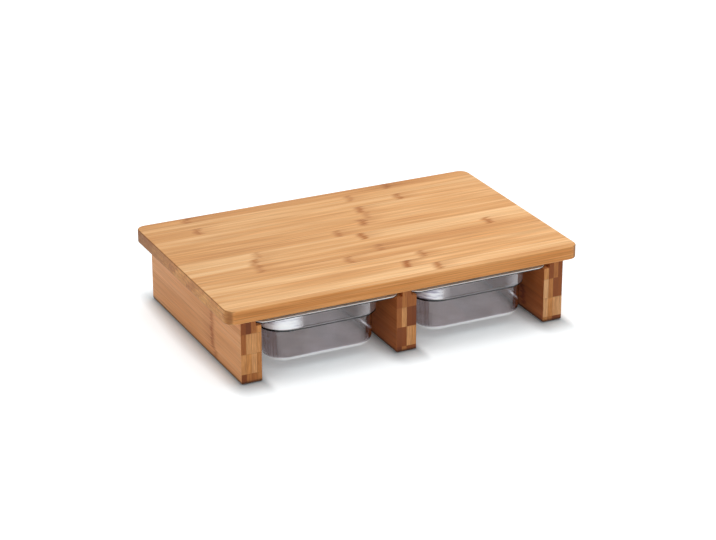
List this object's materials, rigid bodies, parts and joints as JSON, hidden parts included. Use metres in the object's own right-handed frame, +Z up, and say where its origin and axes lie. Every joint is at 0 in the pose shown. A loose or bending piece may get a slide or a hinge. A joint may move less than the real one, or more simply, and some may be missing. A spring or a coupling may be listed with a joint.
{
  "type": "cutting board with drawer trays",
  "caption": "Free-standing bamboo cutting board on three legs, with clear trays that hang by their flanges in rebates under it and slide out.",
  "frame": {"origin": "on the floor, under the middle of the board", "axes": "+X to the right along the board's long side, +Y to the back, +Z up"},
  "size_m": [0.38, 0.24, 0.08],
  "materials": {
    "board_bamboo": "oiled bamboo, side-pressed strips",
    "leg_bamboo": "oiled bamboo, laminated blocks",
    "dowel_wood": "plain beech",
    "pad_rubber": "matt rubber",
    "tray_plastic": "clear moulded plastic"
  },
  "bodies": {
    "board_frame": {"cutting_board": "board_bamboo", "left_leg": "leg_bamboo", "left_dowel_front": "dowel_wood", "left_dowel_centre": "dowel_wood", "left_dowel_back": "dowel_wood", "left_pad_front": "pad_rubber", "left_pad_back": "pad_rubber", "middle_leg": "leg_bamboo", "middle_dowel_front": "dowel_wood", "middle_dowel_centre": "dowel_wood", "middle_dowel_back": "dowel_wood", "middle_pad_front": "pad_rubber", "middle_pad_back": "pad_rubber", "right_leg": "leg_bamboo", "right_dowel_front": "dowel_wood", "right_dowel_centre": "dowel_wood", "right_dowel_back": "dowel_wood", "right_pad_front": "pad_rubber", "right_pad_back": "pad_rubber"},
    "left_tray": {"left_tray": "tray_plastic"},
    "right_tray": {"right_tray": "tray_plastic"}
  },
  "joints": [
    {"name": "left_tray_slide", "type": "slide", "parent": "board_frame", "child": "left_tray", "axis": [0, -1, 0], "range_m": [-0.24, 0.24]},
    {"name": "right_tray_slide", "type": "slide", "parent": "board_frame", "child": "right_tray", "axis": [0, -1, 0], "range_m": [-0.24, 0.24]}
  ]
}
